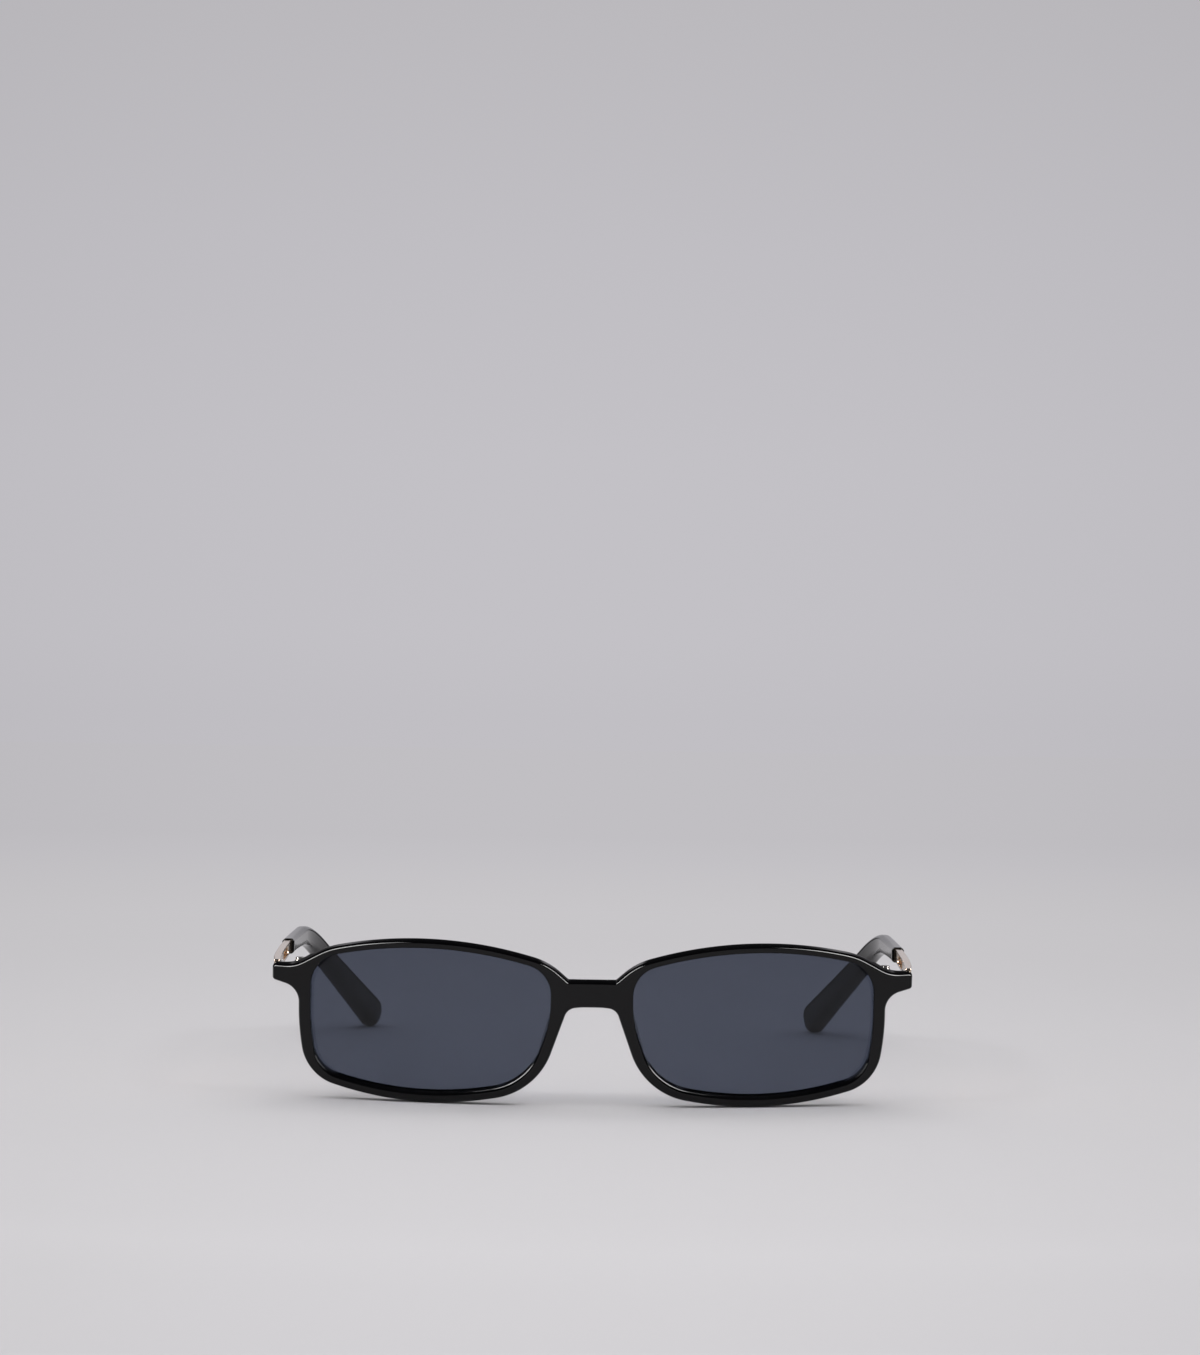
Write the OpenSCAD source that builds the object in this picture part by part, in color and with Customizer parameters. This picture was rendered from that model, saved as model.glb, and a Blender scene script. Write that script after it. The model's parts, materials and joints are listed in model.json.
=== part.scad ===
// Slim rectangular sunglasses, standing open on the rims and the temple tips.
// X runs to the wearer's left, Y to the back, Z up. Left and right are the wearer's sides.
// The front is drawn in its own upright frame, curved about a vertical line, and then leaned forward.

/* [Lenses] */
// Height of one lens opening
lens_h = 32.1; // [29:0.1:36]
// Distance between the two lens openings
bridge_w = 18; // [16:0.5:21]
// Radius of the lens surface
lens_curve = 175; // [150:5:220]
// Thickness of a lens
lens_t = 1.8; // [1.4:0.1:2.2]
// Thickness of the tongue around a lens
tongue_t = 1; // [0.8:0.1:1.2]
// Depth of the tongue
tongue_depth = 0.7; // [0.5:0.05:0.9]
// Distance from the face of the front back to the lens
lens_inset = 0.7; // [0.5:0.1:0.9]
// Gap between a lens and its rim
lens_gap = 0.05; // [0.03:0.01:0.1]

/* [Front] */
// Overall width of the front, which the lens openings share with the bridge and the end pieces
front_w = 142; // [136:0.5:150]
// Thickness of the front
front_t = 4; // [3.8:0.1:4.6]
// Radius of the face curve
face_curve = 230; // [210:5:300]
// Forward lean of the front
lean = 7; // [4:0.5:10]
// Rim width above the lens
rim_top = 1.6; // [1.4:0.1:2.2]
// Rim width below the lens
rim_bottom = 2.3; // [2:0.1:3]
// Rim width at the temple side
rim_side = 2.8; // [2.4:0.1:3.4]
// Rim width at the nose side
rim_nose = 2.4; // [2:0.1:2.8]

/* [Bridge] */
// Height of the bridge
bridge_h = 5.5; // [4.5:0.1:7]
// Distance from the middle of the lenses up to the top of the bridge
bridge_up = 9.7; // [9:0.1:11]
// Half width of the flat top of the bridge
bridge_flat = 5.2; // [4.5:0.1:6]
// Radius at the ends of the flat top
bridge_top_r = 0.5; // [0.3:0.1:1]
// Distance from the side of the lens opening to the foot of the bridge's upper slope
bridge_foot = 0.6; // [0.2:0.1:1]
// Radius at that foot
bridge_foot_r = 8; // [5:0.5:9]
// Radius under the bridge
bridge_r = 2.6; // [1.5:0.1:3]

/* [End pieces] */
// Distance that an end piece reaches past the rim
end_reach = 6; // [5.4:0.1:8]
// Height of an end piece at its outer end
end_h = 3.5; // [3.2:0.1:4.2]
// Distance that its underside drops on the way in to the rim
end_drop = 1.5; // [0.8:0.1:2]
// Thickness of an end piece at its outer end
end_t = 3.5; // [3.2:0.1:4]
// Distance from the middle of the lenses up to the top of an end piece
end_up = 10.3; // [9.5:0.1:11]
// Radius where that underside meets the rim
end_r = 4; // [2.5:0.1:4.5]
// Corner radius of an end piece
end_corner = 0.8; // [0.4:0.1:1.2]
// Distance from the side of the lens opening in to the shoulder of the rim
shoulder_in = 3.9; // [3:0.1:5]
// Radius of the shoulder
shoulder_r = 9; // [6:0.5:12]
// Distance from the side of the lens opening out to the foot of the shoulder
shoulder_out = 3.8; // [3:0.1:4.6]
// Radius at the foot of the shoulder
shoulder_foot_r = 5; // [3:0.5:6]

/* [Nose pads] */
// Height of a pad
pad_h = 12; // [10:0.5:14]
// Thickness of a pad
pad_w = 2.2; // [1.8:0.1:2.6]
// Distance that a pad stands behind the front
pad_t = 3.8; // [2.5:0.1:4.5]
// Distance from the middle of the lenses down to the middle of a pad
pad_down = 3; // [1:0.5:5]
// Outward flare of a pad at its back
pad_flare = 1.6; // [0.8:0.1:2.2]
// Radius of the rear edge of a pad
pad_edge = 0.9; // [0.5:0.1:0.9]
// Length over which a pad bends to follow the rim
pad_bend = 0.7; // [0.3:0.1:1.5]
// Glue line under a pad
pad_glue = 0.04; // [0.02:0.01:0.08]

/* [Hinges] */
// Distance from the outer end of the front in to the hinge axis
hinge_inset = 5.6; // [5.2:0.1:6]
// Distance from the back of the end piece to the hinge axis
hinge_stand = 2; // [1.9:0.1:2.4]
// Distance from the top of the end piece down to the middle of the hinge
hinge_down = 2; // [1.9:0.05:2.2]
// Radius of a knuckle
knuckle_r = 1.15; // [1.05:0.05:1.3]
// Height of all three knuckles
knuckles_h = 3.6; // [3:0.1:3.8]
// Gap between two knuckles
knuckle_gap = 0.05; // [0.03:0.01:0.1]
// Radius of the screw
screw_r = 0.6; // [0.5:0.05:0.7]
// Radius of the screw head
head_r = 1; // [0.9:0.05:1.1]
// Height of the screw head
head_h = 0.6; // [0.4:0.05:0.8]
// Width of the screw slot
slot_w = 0.24; // [0.2:0.02:0.3]
// Radial clearance of the screw
screw_gap = 0.04; // [0.02:0.01:0.06]
// Thickness of the hinge leaves
leaf_t = 0.8; // [0.6:0.05:1]
// Width of the front leaf
front_leaf_w = 5; // [4.4:0.1:5.4]
// Distance that the flat land reaches past the front leaf
land_margin = 1; // [0.6:0.1:1.4]
// Radius of an anchor stud
stud_r = 0.5; // [0.4:0.05:0.6]
// Length of an anchor stud
stud_l = 1.6; // [1.2:0.1:2]
// Gap around the front leaf and its studs
leaf_gap = 0.04; // [0.02:0.01:0.08]
// Length of the temple leaf
temple_leaf_l = 6; // [5:0.5:8]
// Height of the temple leaf
temple_leaf_h = 2.4; // [1.8:0.1:2.6]

/* [Temple bars] */
// Width of the bar
bar_w = 1.6; // [1.5:0.1:2]
// Height of the bar at the hinge
bar_h = 3.6; // [3.4:0.1:4]
// Height of the bar at the sleeve
bar_end_h = 3.1; // [2.9:0.1:3.3]
// Distance that the bar stands out past the side of the end piece
bar_out = 0.4; // [0:0.1:0.6]
// Distance that the bar stands up past the top of the end piece
bar_rise = 0.3; // [0:0.1:0.5]
// Length of the bar in front of the sleeve
bar_l = 50; // [46:1:56]
// Length of the bar inside the sleeve
tang_l = 4; // [3:0.5:6]
// Gap between the bar and the end piece when the temple is open
butt_gap = 0.05; // [0.03:0.01:0.1]
// Length of the window
window_l = 18.5; // [12:0.5:22]
// Height of the window
window_h = 2; // [1.4:0.1:2.2]
// Distance from the sleeve to the window
window_back = 9; // [6:0.5:12]
// Distance from the middle of the bar's height down to the window's
window_down = 0.1; // [0:0.05:0.2]

/* [Temple curve] */
// Outward angle of the temple at the hinge
splay = 5; // [3:0.5:8]
// Straight length of the temple at the hinge
seat_l = 9; // [8:0.5:12]
// Distance from the hinge to where the temple turns inward
toe_start = 80; // [70:1:86]
// Radius of the inward turn
toe_radius = 75; // [70:5:140]
// Inward angle at the tip
toe_angle = 19.5; // [16:0.5:24]
// Distance from the hinge to where the temple turns down
bend_start = 80; // [74:1:86]
// Radius of the downward turn
bend_radius = 40; // [32:1:48]
// Downward angle at the tip
bend_angle = 30.5; // [29:0.5:36]

/* [Sleeves] */
// Thickness of the sleeve at its mouth
sleeve_w = 3.2; // [2.9:0.1:3.6]
// Height of the sleeve at its mouth
sleeve_h = 3.7; // [3.6:0.1:4.2]
// Shift of the sleeve towards the head, against the bar
sleeve_shift = 0.2; // [0:0.05:0.3]
// Rate at which the sleeve grows taller towards the tip
sleeve_growth = 1.4; // [1:0.1:1.7]
// Thickness of the tip
tip_w = 3.6; // [3:0.1:4.2]
// Height of the tip
tip_h = 8.3; // [7:0.1:10]
// Radius of the rounded edges of the sleeve
sleeve_r = 0.9; // [0.5:0.1:1.2]
// Gap between the sleeve and what it holds
sleeve_gap = 0.05; // [0.03:0.01:0.1]
// Radius of the core wire
core_r = 0.5; // [0.4:0.05:0.55]
// Distance from the end of the core wire to the tip
core_back = 8; // [6:1:14]
// Depth of the core wire's socket in the bar
socket_l = 2.5; // [2:0.5:4]

/* [Hidden] */
$fn = 48;

// Height error allowed between an arc and its chords
chord = 0.012;
// A length that reaches right through the front
through = 60;
// A margin that cuts reach past what they cut
spare = 1;
// A small overlap for pieces of one solid
eps = 0.01;
// Flat left at the end of a rounded sweep, as a share of its radius
end_flat = 0.004;

// Corners of a lens opening from its middle: x as a share of half its width, z and the corner radius as
// shares of half its height. The first corner is at the top of the nose side and they run over the top.
opening_shape = [
    [-1, 0.73, 0.417], [-0.05, 1.155, 5.17], [1, 0.76, 0.498], [1, -0.2, 3.12],
    [0.942, -0.78, 0.449], [0.125, -1.11, 4.86], [-0.815, -0.82, 0.841], [-1, 0.055, 1.495]
];

black = [0.02, 0.02, 0.022];
lens_grey = [0.12, 0.13, 0.16];
pale_gold = [0.83, 0.76, 0.68];
steel = [0.75, 0.75, 0.76];

function unit(v) = v / norm(v);
function normal(a, b) = unit([a.y - b.y, b.x - a.x]);
function pick(list, i) = list[(i + len(list)) % len(list)];

function flat(c) = [c.x, c.y];
// Half of the angle at the corner p between the corners a and b
function half_angle(a, p, b) =
    acos(max(-1, min(1, unit(flat(a) - flat(p)) * unit(flat(b) - flat(p))))) / 2;
// Length that corner i's rounding takes from each of its sides
function taken(c, i) = pick(c, i).z / tan(half_angle(pick(c, i - 1), pick(c, i), pick(c, i + 1)));
// Share of their radii that fits on the side between corners j and j + 1
function share(c, j) = norm(flat(pick(c, j + 1)) - flat(pick(c, j))) / (taken(c, j) + taken(c, j + 1));

// Arc of radius r at the corner p between the corners a and b
function corner_arc(a, p, b, r) =
    let(
        u = unit(a - p),
        v = unit(b - p),
        half = half_angle(a, p, b),
        middle = p + unit(u + v) * r / sin(half),
        start = p + u * r / tan(half) - middle,
        turn = 180 - 2 * half,
        steps = max(1, ceil(turn / (2 * acos(1 - chord / r)))),
        way = sign(u.x * v.y - u.y * v.x)
    )
    [for (i = [0:steps]) let(t = -way * turn * i / steps)
        middle + [start.x * cos(t) - start.y * sin(t), start.x * sin(t) + start.y * cos(t)]];

// Closed outline through corners [x, z, radius], where a radius shrinks if its sides are too short
function rounded(c) = [for (i = [0:len(c) - 1])
    let(r = c[i].z * min(1, 0.99 * share(c, i - 1), 0.99 * share(c, i)))
    each corner_arc(flat(pick(c, i - 1)), flat(c[i]), flat(pick(c, i + 1)), r)];

// Corners moved outward: the side after corner i moves by d[i]
function grown(c, d) = [for (i = [0:len(c) - 1])
    let(
        n0 = normal(pick(c, i - 1), c[i]),
        n1 = normal(c[i], pick(c, i + 1)),
        d0 = pick(d, i - 1),
        k = n0.x * n1.y - n0.y * n1.x
    )
    [
        c[i].x + (d0 * n1.y - d[i] * n0.y) / k,
        c[i].y + (d[i] * n0.x - d0 * n1.x) / k,
        c[i].z + (d0 + d[i]) / 2
    ]];

// Point at x on the line through a and b
function on_line(a, b, x) = a.y + (b.y - a.y) * (x - a.x) / (b.x - a.x);
// Point at height z on the line through a and b
function at_height(a, b, z) = a.x + (b.x - a.x) * (z - a.y) / (b.y - a.y);

// Distance that a curve of radius r falls back at x
function sag(r, x) = r - sqrt(r * r - x * x);
// How far back the rear of the front lies at x, moved back by gap
function back_at(x, gap) = face_curve - sqrt(pow(face_curve - front_t - gap, 2) - x * x);

// Middle and width of a lens opening, and the opening's corners
end_x = front_w / 2;
side_x = end_x - end_reach - rim_side;
lens_w = side_x - bridge_w / 2;
lens_x = side_x - lens_w / 2;
opening = [for (s = opening_shape)
    [lens_x + s.x * lens_w / 2, s.y * lens_h / 2, s.z * lens_h / 2]];
rim = grown(opening, [rim_top, rim_top, rim_side, rim_side, rim_bottom, rim_bottom, rim_nose, rim_nose]);

// Half of the front's outline, from the top of the bridge out over the rim and back under the bridge
nose_x = side_x - lens_w + bridge_foot;
shoulder_x = side_x - shoulder_in;
under_end = end_up - end_h;
inner_under = under_end - end_drop;
under_bridge = bridge_up - bridge_h;
half_front = [
    [bridge_flat, bridge_up, bridge_top_r],
    [nose_x, on_line(rim[0], rim[1], nose_x), bridge_foot_r],
    rim[1],
    [shoulder_x, on_line(rim[1], rim[2], shoulder_x), shoulder_r],
    [side_x + shoulder_out, end_up, shoulder_foot_r],
    [end_x, end_up, end_corner],
    [end_x, under_end, end_corner],
    [at_height(rim[2], rim[3], inner_under), inner_under, end_r],
    rim[3],
    rim[4],
    rim[5],
    rim[6],
    [at_height(rim[6], rim[7], under_bridge), under_bridge, bridge_r]
];
mirrored_half = [for (i = [len(half_front) - 1:-1:0]) [-half_front[i].x, half_front[i].y, half_front[i].z]];
front_outline = rounded(concat(half_front, mirrored_half));

// Where the front stands once it is leaned: its lowest and its foremost points
leaned = [for (p = front_outline) [
    sag(face_curve, p.x) * cos(lean) - p.y * sin(lean),
    sag(face_curve, p.x) * sin(lean) + p.y * cos(lean)
]];
front_low = min([for (p = leaned) p.y]);
foremost = min([for (p = leaned) p.x]);

// Back of an end piece, hinge axis and knuckles, in the front's own frame
end_back = sag(face_curve, end_x) + end_t;
hinge_x = end_x - hinge_inset;
hinge_y = end_back + hinge_stand;
hinge_z = end_up - hinge_down;
knuckle_h = (knuckles_h - 2 * knuckle_gap) / 3;
knuckle_low = hinge_z - knuckles_h / 2;
land_x = hinge_x - front_leaf_w / 2 - land_margin;

// Start of the temple's middle line, in the leaned frame but before the last shift
bar_top = end_back * sin(lean) + end_up * cos(lean) + bar_rise;
bar_mid = bar_top - bar_h / 2;
bar_front = end_back * cos(lean) - hinge_z * sin(lean);
bar_x = end_x + bar_out - bar_w / 2;

// Directions of the temple's middle line at distance s from the hinge: out, straight, in and down
turned_in = 180 / PI / toe_radius;
turned_down = 180 / PI / bend_radius;
function heading(s) =
    s < seat_l ? splay
    : s < toe_start ? splay * (toe_start - s) / (toe_start - seat_l)
    : -min(toe_angle, (s - toe_start) * turned_in);
function descent(s) = min(bend_angle, max(0, s - bend_start) * turned_down);
function along(s) = [sin(heading(s)) * cos(descent(s)), cos(heading(s)) * cos(descent(s)), -sin(descent(s))];
function inward(s) = [-cos(heading(s)), sin(heading(s)), 0];
function upward(s) = [sin(heading(s)) * sin(descent(s)), cos(heading(s)) * sin(descent(s)), cos(descent(s))];

// The straight run after the bend is as long as it takes for the tip to reach down to the rims
bend_l = bend_angle / turned_down;
bend_drop = bend_radius * (1 - cos(bend_angle));
tip_r = tip_h / 2;
tip_drop = bar_mid - front_low - bend_drop - tip_r;
run_l = tip_drop / sin(bend_angle);
temple_l = bend_start + bend_l + run_l + tip_r;

// Middle line of the temple, point by point
path_step = 1.25;
ring_gap = 3;
path_n = ceil(temple_l / path_step);
step = temple_l / path_n;
path = [for (i = 0, p = [bar_x, bar_front, bar_mid]; i <= path_n; i = i + 1, p = p + step * along((i - 0.5) * step)) p];
function at(s) = let(i = max(0, min(path_n - 1, floor(s / step)))) path[i] + (s - i * step) * along(s);

// Last shift: the origin is at the middle of the footprint, on the surface that the glasses stand on
rearmost = max([for (r = sleeve_rings()) for (p = r) p.y]);
shift = [0, -(foremost + rearmost) / 2, -front_low];

// Stations of a sweep, closer together over its last length r, which is rounded
function stations(from, to, r, gap) =
    let(straight = to - r, n = ceil((straight - from) / gap))
    concat(
        [for (i = [0:n]) from + (straight - from) * i / n],
        [for (a = [15:15:75]) straight + r * sin(a)],
        [to - r * end_flat]
    );
// Share of its full size that such a sweep keeps at s
function rounding(s, to, r) = let(d = max(0, s - (to - r)) / r) sqrt(max(0, 1 - d * d));

module front_space() {
    translate(shift)
        rotate([lean, 0, 0])
            children();
}

module temple_space() {
    translate(shift)
        children();
}

module mirrored() {
    mirror([1, 0, 0])
        children();
}

// Upright outline drawn in x and z, extruded to the back
module plate(points, depth) {
    rotate([90, 0, 0])
        mirror([0, 0, 1])
            linear_extrude(depth)
                polygon(points);
}

// Upright round post on the axis of the face curve
module face_post(r) {
    translate([0, face_curve, -through])
        cylinder(r = r, h = 2 * through, $fn = 180);
}

// Ball shaped sheet of a lens between two depths, with its crown in the middle of the opening
module lens_sheet(near, far) {
    turn = asin(lens_x / face_curve);
    reach = face_curve - lens_inset - lens_curve;
    translate([reach * sin(turn), face_curve - reach * cos(turn), 0])
        difference() {
            sphere(r = lens_curve - near, $fn = 180);
            sphere(r = lens_curve - far, $fn = 180);
        }
}

module lens_body(gap) {
    edge = (lens_t - tongue_t) / 2;
    side = tongue_depth + gap;
    intersection() {
        plate(rounded(grown(opening, [for (c = opening) side])), through);
        lens_sheet(edge - gap, edge + tongue_t + gap);
    }
}

module lens() {
    color(lens_grey, 0.8)
        front_space()
            union() {
                lens_body(0);
                intersection() {
                    plate(rounded(grown(opening, [for (c = opening) -lens_gap])), through);
                    lens_sheet(0, lens_t);
                }
            }
}

// Flat land behind the end piece for the hinge and the end of the bar
module end_land() {
    intersection() {
        plate(front_outline, end_back);
        translate([land_x, back_at(land_x, -front_t / 2), -through / 2])
            cube([end_x, end_back, through]);
        face_post(face_curve);
        translate([0, 0, inner_under - end_r])
            cube([end_x + spare, end_back, end_up - inner_under + end_r + spare]);
    }
}

module front_half() {
    difference() {
        union() {
            intersection() {
                plate(front_outline, through);
                difference() {
                    face_post(face_curve);
                    face_post(face_curve - front_t);
                }
                translate([0, -spare, -through])
                    cube([end_x + spare, through, 2 * through]);
            }
            end_land();
        }
        translate([land_x, end_back, -through])
            cube([end_x, through, 2 * through]);
        translate([0, -spare, 0])
            plate(rounded(opening), through);
        lens_body(lens_gap);
        front_leaf(leaf_gap);
    }
}

module front_frame() {
    color(black)
        front_space()
            union() {
                front_half();
                mirrored()
                    front_half();
            }
}

// Middle of the rim's nose side at height z, upright above the slope and sloping below
function pad_line(z) =
    let(slope = at_height(rim[6], rim[7], z) - rim[7].x)
    rim[7].x + rim_nose / 2 + (slope + sqrt(slope * slope + pad_bend * pad_bend)) / 2;

// Pad as a blade along the nose side that flares outward to the back and has a rounded rear edge
module nose_pad() {
    color(black)
        front_space()
            sweep([for (d = stations(0, pad_t, pad_edge, pad_t / 4))
                let(
                    edge = 2 * pad_edge * (1 - rounding(d, pad_t, pad_edge)),
                    w = pad_w - edge,
                    h = pad_h - edge,
                    out = pad_flare * pow(d / pad_t, 2)
                )
                [for (q = section(w, h, w / 2))
                    let(z = q.y - pad_down, x = pad_line(z) + q.x + out)
                    [x, back_at(x, pad_glue) + d, z]]]);
}

// Plate in the back of the end piece with its studs
module front_leaf(gap) {
    translate([hinge_x - front_leaf_w / 2 - gap, end_back - leaf_t - gap, knuckle_low - gap])
        cube([front_leaf_w + 2 * gap, leaf_t + gap + (gap > 0 ? spare : 0), knuckles_h + 2 * gap]);
    for (x = [-front_leaf_w / 3, front_leaf_w / 3])
        translate([hinge_x + x, end_back - leaf_t - stud_l - gap, hinge_z])
            rotate([-90, 0, 0])
                cylinder(r = stud_r + gap, h = stud_l + gap + eps);
}

// A knuckle on the axis at height z
module knuckle(z, h) {
    translate([hinge_x, hinge_y, z])
        cylinder(r = knuckle_r, h = h);
}

module screw_bore(gap) {
    translate([hinge_x, hinge_y, knuckle_low - spare])
        cylinder(r = screw_r + gap, h = knuckles_h + 2 * spare);
}

module front_hinge() {
    color(steel)
        front_space()
            difference() {
                union() {
                    front_leaf(0);
                    for (z = [knuckle_low, knuckle_low + knuckles_h - knuckle_h]) {
                        knuckle(z, knuckle_h);
                        translate([hinge_x - knuckle_r, end_back - leaf_t / 2, z])
                            cube([2 * knuckle_r, hinge_stand + leaf_t / 2, knuckle_h]);
                    }
                }
                screw_bore(screw_gap);
            }
}

module hinge_screw() {
    color(steel)
        front_space()
            difference() {
                union() {
                    translate([hinge_x, hinge_y, knuckle_low])
                        cylinder(r = screw_r, h = knuckles_h + eps);
                    translate([hinge_x, hinge_y, knuckle_low + knuckles_h])
                        cylinder(r = head_r, h = head_h);
                }
                translate([hinge_x - 2 * head_r, hinge_y - slot_w / 2, knuckle_low + knuckles_h + head_h / 2])
                    cube([4 * head_r, slot_w, head_h]);
            }
}

// Frame of the bar's straight start: x across it to the outside, y along it
module bar_space() {
    temple_space()
        translate([bar_x, bar_front, bar_mid])
            rotate([0, 0, -splay])
                children();
}

// Leaf on the inside of the bar with a round rear end
module temple_leaf() {
    start = hinge_stand - knuckle_r;
    r = temple_leaf_h / 2;
    translate([-bar_w / 2 - leaf_t, start, -r])
        cube([leaf_t, temple_leaf_l - r, temple_leaf_h]);
    translate([-bar_w / 2 - leaf_t, start + temple_leaf_l - r, 0])
        rotate([0, 90, 0])
            cylinder(r = r, h = leaf_t);
}

module temple_hinge() {
    arm_in = bar_x - bar_w / 2 - hinge_x;
    middle_z = knuckle_low + knuckle_h + knuckle_gap;
    color(steel)
        difference() {
            union() {
                front_space()
                    knuckle(middle_z, knuckle_h);
                intersection() {
                    front_space()
                        translate([hinge_x, hinge_y - knuckle_r, middle_z])
                            cube([arm_in + bar_w, 2 * knuckle_r, knuckle_h]);
                    bar_space()
                        translate([-bar_w / 2 - 2 * arm_in, -through / 2, -through / 2])
                            cube([2 * arm_in, through, through]);
                }
                bar_space()
                    temple_leaf();
            }
            front_space()
                screw_bore(screw_gap);
        }
}

// Plan of the bar between two distances, widened by gap on both sides
function bar_plan(from, to, gap) =
    let(n = ceil((to - from) / 2), d = (to - from) / n)
    concat(
        [for (i = [0:n]) let(s = from + i * d, p = at(s) + inward(s) * (bar_w / 2 + gap)) [p.x, p.y]],
        [for (i = [n:-1:0]) let(s = from + i * d, p = at(s) - inward(s) * (bar_w / 2 + gap)) [p.x, p.y]]
    );

// Bar with a level top and a bottom that rises towards the sleeve
module bar_solid(from, to, gap) {
    end_y = at(bar_l).y;
    intersection() {
        translate([0, 0, bar_mid - through / 2])
            linear_extrude(through)
                polygon(bar_plan(from, to, gap));
        rotate([90, 0, 90])
            linear_extrude(2 * through)
                polygon([
                    [bar_front - through, bar_top + gap],
                    [end_y + through, bar_top + gap],
                    [end_y + through, bar_top - bar_end_h - gap],
                    [end_y, bar_top - bar_end_h - gap],
                    [bar_front + seat_l, bar_top - bar_h - gap],
                    [bar_front - through, bar_top - bar_h - gap]
                ]);
    }
}

module window_cut() {
    back = bar_l - window_back;
    r = window_h / 2;
    middle = bar_top - (bar_end_h + bar_h) / 4 - window_down;
    from = at(back - window_l).y + r;
    to = at(back).y - r;
    translate([0, 0, middle])
        rotate([90, 0, 90]) {
            for (y = [from, to])
                translate([y, 0, 0])
                    cylinder(r = r, h = 2 * through);
            translate([from, -r, 0])
                cube([to - from, window_h, 2 * through]);
        }
}

module core_bore(gap) {
    sweep([for (s = core_stations()) ring(s, [for (a = [22.5:45:359]) (core_r + gap) / cos(22.5) * [cos(a), sin(a)]])]);
}

module temple_bar() {
    color(pale_gold)
        temple_space()
            difference() {
                bar_solid(-front_t, bar_l + tang_l, 0);
                window_cut();
                butt_cut();
                core_bore(sleeve_gap);
            }
}

// Everything in front of the back of the end piece, in the temple's frame
module butt_cut() {
    rotate([lean, 0, 0])
        translate([0, end_back + butt_gap - through, -through / 2])
            cube([2 * through, through, 3 * through]);
}

// Skin through rings of points, with flat ends
module sweep(rings) {
    m = len(rings[0]);
    n = len(rings);
    polyhedron(
        points = [for (r = rings) each r],
        faces = concat(
            [[for (j = [0:m - 1]) j]],
            [for (i = [0:n - 2]) for (j = [0:m - 1]) each [
                [i * m + j, (i + 1) * m + (j + 1) % m, i * m + (j + 1) % m],
                [i * m + j, (i + 1) * m + j, (i + 1) * m + (j + 1) % m]
            ]],
            [[for (j = [m - 1:-1:0]) (n - 1) * m + j]]
        )
    );
}

// Section points, x towards the head and y up, placed at distance s
function ring(s, section) = [for (q = section) at(s) + q.x * inward(s) + q.y * upward(s)];

// Rounded rectangle
function section(w, h, r) =
    let(q = min(r, w / 2 - eps, h / 2 - eps))
    [for (k = [0:3]) let(cx = (k == 0 || k == 3 ? 1 : -1), cy = (k < 2 ? 1 : -1))
        for (a = [0:30:90]) [cx * (w / 2 - q) + q * cos(90 * k + a), cy * (h / 2 - q) + q * sin(90 * k + a)]];

function core_stations() =
    let(from = bar_l + tang_l - socket_l, to = temple_l - core_back, n = ceil((to - from) / ring_gap))
    [for (i = [0:n]) from + (to - from) * i / n];

function mix(a, b, t) = a + (b - a) * max(0, min(1, t));

// The sleeve's mouth lies on the middle of the bar's end, and its tip on the path
function sleeve_rings() = [for (s = stations(bar_l, temple_l, tip_r, ring_gap))
    let(
        t = (s - bar_l) / (temple_l - bar_l),
        left = rounding(s, temple_l, tip_r),
        w = mix(sleeve_w, tip_w, t) * sqrt(left),
        h = mix(sleeve_h, tip_h, pow(t, sleeve_growth)) * left,
        off = [mix(sleeve_shift, 0, t), mix((bar_h - bar_end_h) / 2, 0, t)]
    )
    ring(s, [for (q = section(w, h, sleeve_r)) q + off])];

module temple_sleeve() {
    color(black)
        temple_space()
            difference() {
                sweep(sleeve_rings());
                bar_solid(bar_l - spare, bar_l + tang_l + sleeve_gap, sleeve_gap);
                core_bore(sleeve_gap);
            }
}

module core_wire() {
    color(steel)
        temple_space()
            core_bore(0);
}

front_frame();
lens();  // lens_left
mirrored() lens();  // lens_right
nose_pad();  // nose_pad_left
mirrored() nose_pad();  // nose_pad_right
front_hinge();  // front_hinge_left
mirrored() front_hinge();  // front_hinge_right
temple_hinge();  // temple_hinge_left
mirrored() temple_hinge();  // temple_hinge_right
hinge_screw();  // hinge_screw_left
mirrored() hinge_screw();  // hinge_screw_right
temple_bar();  // temple_bar_left
mirrored() temple_bar();  // temple_bar_right
core_wire();  // core_wire_left
mirrored() core_wire();  // core_wire_right
temple_sleeve();  // temple_sleeve_left
mirrored() temple_sleeve();  // temple_sleeve_right
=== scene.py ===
# %% [markdown]
# # Slim rectangular sunglasses
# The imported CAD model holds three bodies: the front with its lenses, and two temples that fold on screw
# hinges. This script dresses them for looks. Polished plastic lives from its rounded edges, so the front,
# the lenses, the bars, the sleeves and the pads are built again here with smooth edges. They keep the
# sizes of the CAD part, apart from a few that were refined later: by tenths of a millimetre at the
# bridge, the rims, the shoulders, the bars and the mouths of the sleeves, and by up to 1.6 mm at the pads
# and the paddles. The hinge pieces and the core wires keep their CAD meshes and only get softer edges and
# a finish.

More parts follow.
